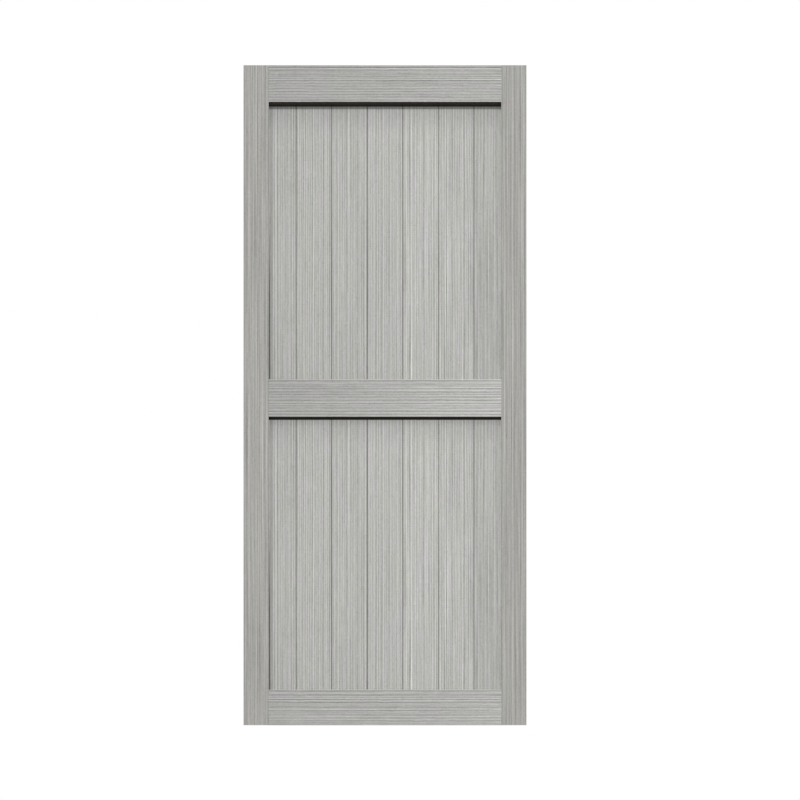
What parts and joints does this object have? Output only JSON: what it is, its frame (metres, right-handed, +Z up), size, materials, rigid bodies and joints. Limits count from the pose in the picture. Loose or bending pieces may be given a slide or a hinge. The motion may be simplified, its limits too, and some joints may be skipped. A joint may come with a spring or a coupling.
{
  "type": "sliding barn door",
  "caption": "Framed sliding barn door leaf of wide planks in two fields, with stiles and rails standing proud on both faces and a floor-guide groove in the foot.",
  "frame": {"origin": "centre of the top edge, where the hangers of a sliding track take hold", "axes": "+X across the door to the right seen from the front, -Y out of the front face, +Z up along its height"},
  "size_m": [0.9144, 0.035, 2.1336],
  "materials": {
    "frame_woodgrain": "satin",
    "plank_woodgrain": "satin",
    "screw_steel": "satin"
  },
  "bodies": {
    "root": {"left_stile": "frame_woodgrain", "right_stile": "frame_woodgrain", "top_rail": "frame_woodgrain", "middle_rail": "frame_woodgrain", "bottom_rail": "frame_woodgrain", "upper_plank_1": "plank_woodgrain", "upper_plank_2": "plank_woodgrain", "upper_plank_3": "plank_woodgrain", "upper_plank_4": "plank_woodgrain", "upper_plank_5": "plank_woodgrain", "upper_plank_6": "plank_woodgrain", "upper_plank_7": "plank_woodgrain", "lower_plank_1": "plank_woodgrain", "lower_plank_2": "plank_woodgrain", "lower_plank_3": "plank_woodgrain", "lower_plank_4": "plank_woodgrain", "lower_plank_5": "plank_woodgrain", "lower_plank_6": "plank_woodgrain", "lower_plank_7": "plank_woodgrain", "left_top_screw_1": "screw_steel", "left_top_screw_2": "screw_steel", "left_middle_screw_1": "screw_steel", "left_middle_screw_2": "screw_steel", "left_bottom_screw_1": "screw_steel", "left_bottom_screw_2": "screw_steel", "right_top_screw_1": "screw_steel", "right_top_screw_2": "screw_steel", "right_middle_screw_1": "screw_steel", "right_middle_screw_2": "screw_steel", "right_bottom_screw_1": "screw_steel", "right_bottom_screw_2": "screw_steel"}
  },
  "joints": []
}
